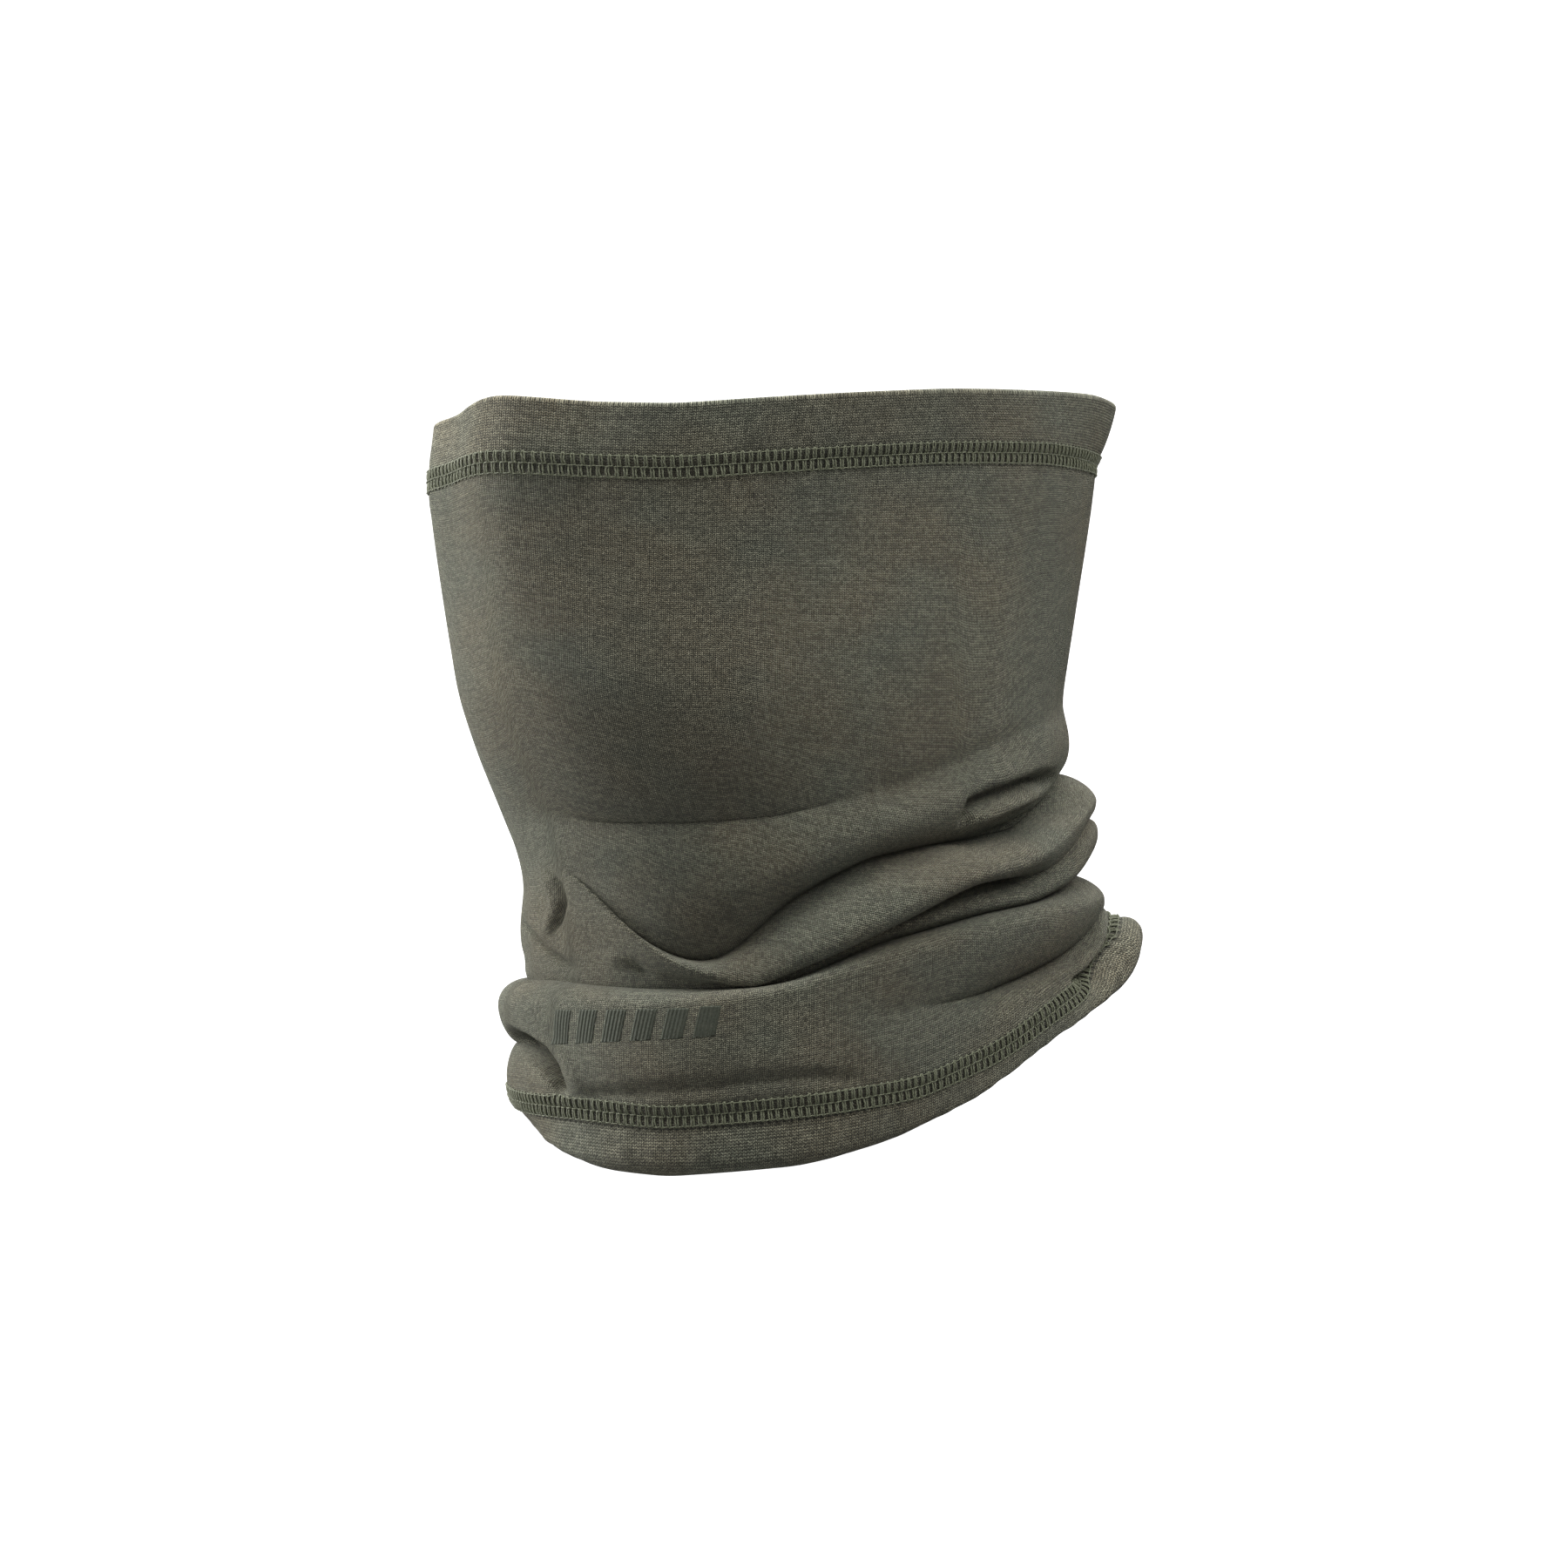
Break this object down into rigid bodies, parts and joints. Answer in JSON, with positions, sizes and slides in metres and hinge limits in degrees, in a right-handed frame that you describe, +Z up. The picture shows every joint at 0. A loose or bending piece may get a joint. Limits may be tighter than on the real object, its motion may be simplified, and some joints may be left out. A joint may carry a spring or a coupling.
{
  "type": "neck gaiter",
  "caption": "Soft knitted tube worn over the lower face and neck, taut above and bunched in rolls below, with turned and cover-stitched hems.",
  "frame": {"origin": "on the axis of the tube, at half its height", "axes": "+Z up along the tube towards its top edge, -Y towards the wearer's face, +X towards the wearer's left side"},
  "size_m": [0.1605, 0.2163, 0.226],
  "materials": {
    "merino_jersey": "fine matt wool jersey, olive drab, slightly mottled",
    "sewing_thread": "matt polyester sewing thread, a little greener than the cloth",
    "label_ribbon": "smooth woven ribbon, blank",
    "transfer_film": "satin heat-transfer film, tone on tone"
  },
  "bodies": {
    "root": {"knit_panel": "merino_jersey", "top_hem_cover_thread": "sewing_thread", "top_hem_looper_thread": "sewing_thread", "top_hem_needle_thread_1": "sewing_thread", "top_hem_needle_thread_2": "sewing_thread", "top_hem_needle_thread_3": "sewing_thread", "bottom_hem_cover_thread": "sewing_thread", "bottom_hem_looper_thread": "sewing_thread", "bottom_hem_needle_thread_1": "sewing_thread", "bottom_hem_needle_thread_2": "sewing_thread", "bottom_hem_needle_thread_3": "sewing_thread", "back_seam_cover_thread": "sewing_thread", "back_seam_looper_thread": "sewing_thread", "back_seam_needle_thread_1": "sewing_thread", "back_seam_needle_thread_2": "sewing_thread", "back_seam_needle_thread_3": "sewing_thread", "back_seam_needle_thread_4": "sewing_thread", "care_label": "label_ribbon", "transfer_bar_1": "transfer_film", "transfer_bar_2": "transfer_film", "transfer_bar_3": "transfer_film", "transfer_bar_4": "transfer_film", "transfer_bar_5": "transfer_film", "transfer_bar_6": "transfer_film"}
  },
  "joints": []
}
